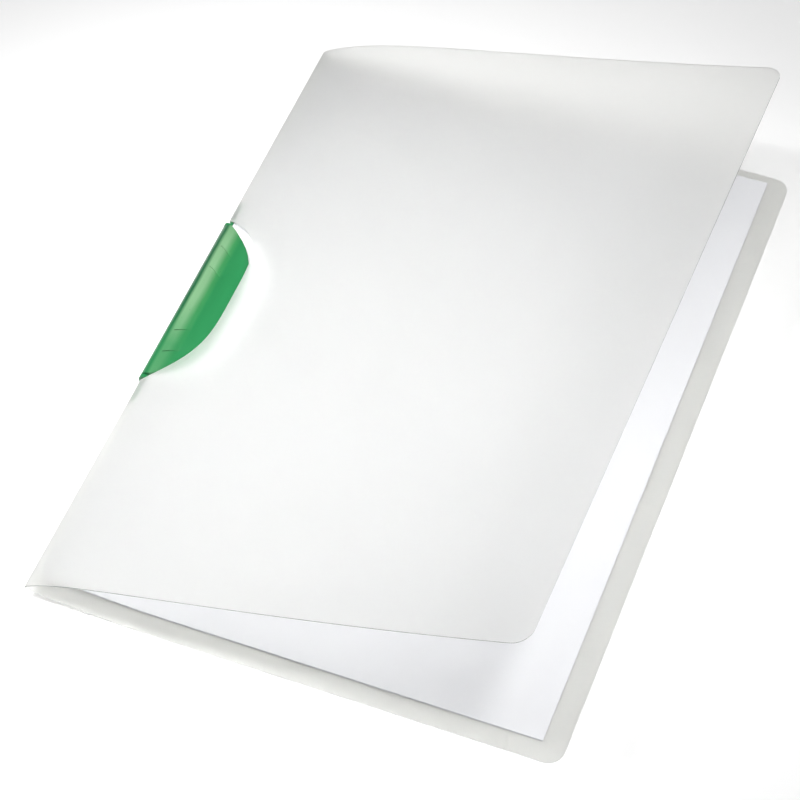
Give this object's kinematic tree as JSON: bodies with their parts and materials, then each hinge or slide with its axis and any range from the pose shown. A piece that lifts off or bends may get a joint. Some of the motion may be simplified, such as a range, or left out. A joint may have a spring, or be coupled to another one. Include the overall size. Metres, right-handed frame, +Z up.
{
  "type": "clip folder",
  "caption": "A4 document folder of two frosted film covers joined at a crease, with a D-shaped swinging clip on the spine holding loose sheets of paper.",
  "frame": {"origin": "middle of the back cover's flat underside, half way along the spine and half way to the fore edge", "axes": "+X from the spine to the fore edge, +Y along the spine, +Z up from the table"},
  "size_m": [0.2236, 0.31, 0.0808],
  "materials": {
    "film": "frosted clear polypropylene film",
    "green_plastic": "satin moulded polypropylene, slightly translucent",
    "paper": "smooth white copier paper"
  },
  "bodies": {
    "folder_back": {"back_cover": "film", "paper_sheets": "paper", "clip_base": "green_plastic"},
    "front": {"front_cover": "film"},
    "jaw": {"clip_jaw": "green_plastic"}
  },
  "joints": [
    {"name": "cover_crease", "type": "hinge", "parent": "folder_back", "child": "front", "pos_m": [-0.1108, 0, 0.00682], "axis": [0, -1, 0], "range_deg": [-17, 160]},
    {"name": "jaw_swing", "type": "hinge", "parent": "folder_back", "child": "jaw", "pos_m": [-0.1106, 0, 0.0052], "axis": [0, -1, 0], "range_deg": [0, 160]}
  ]
}
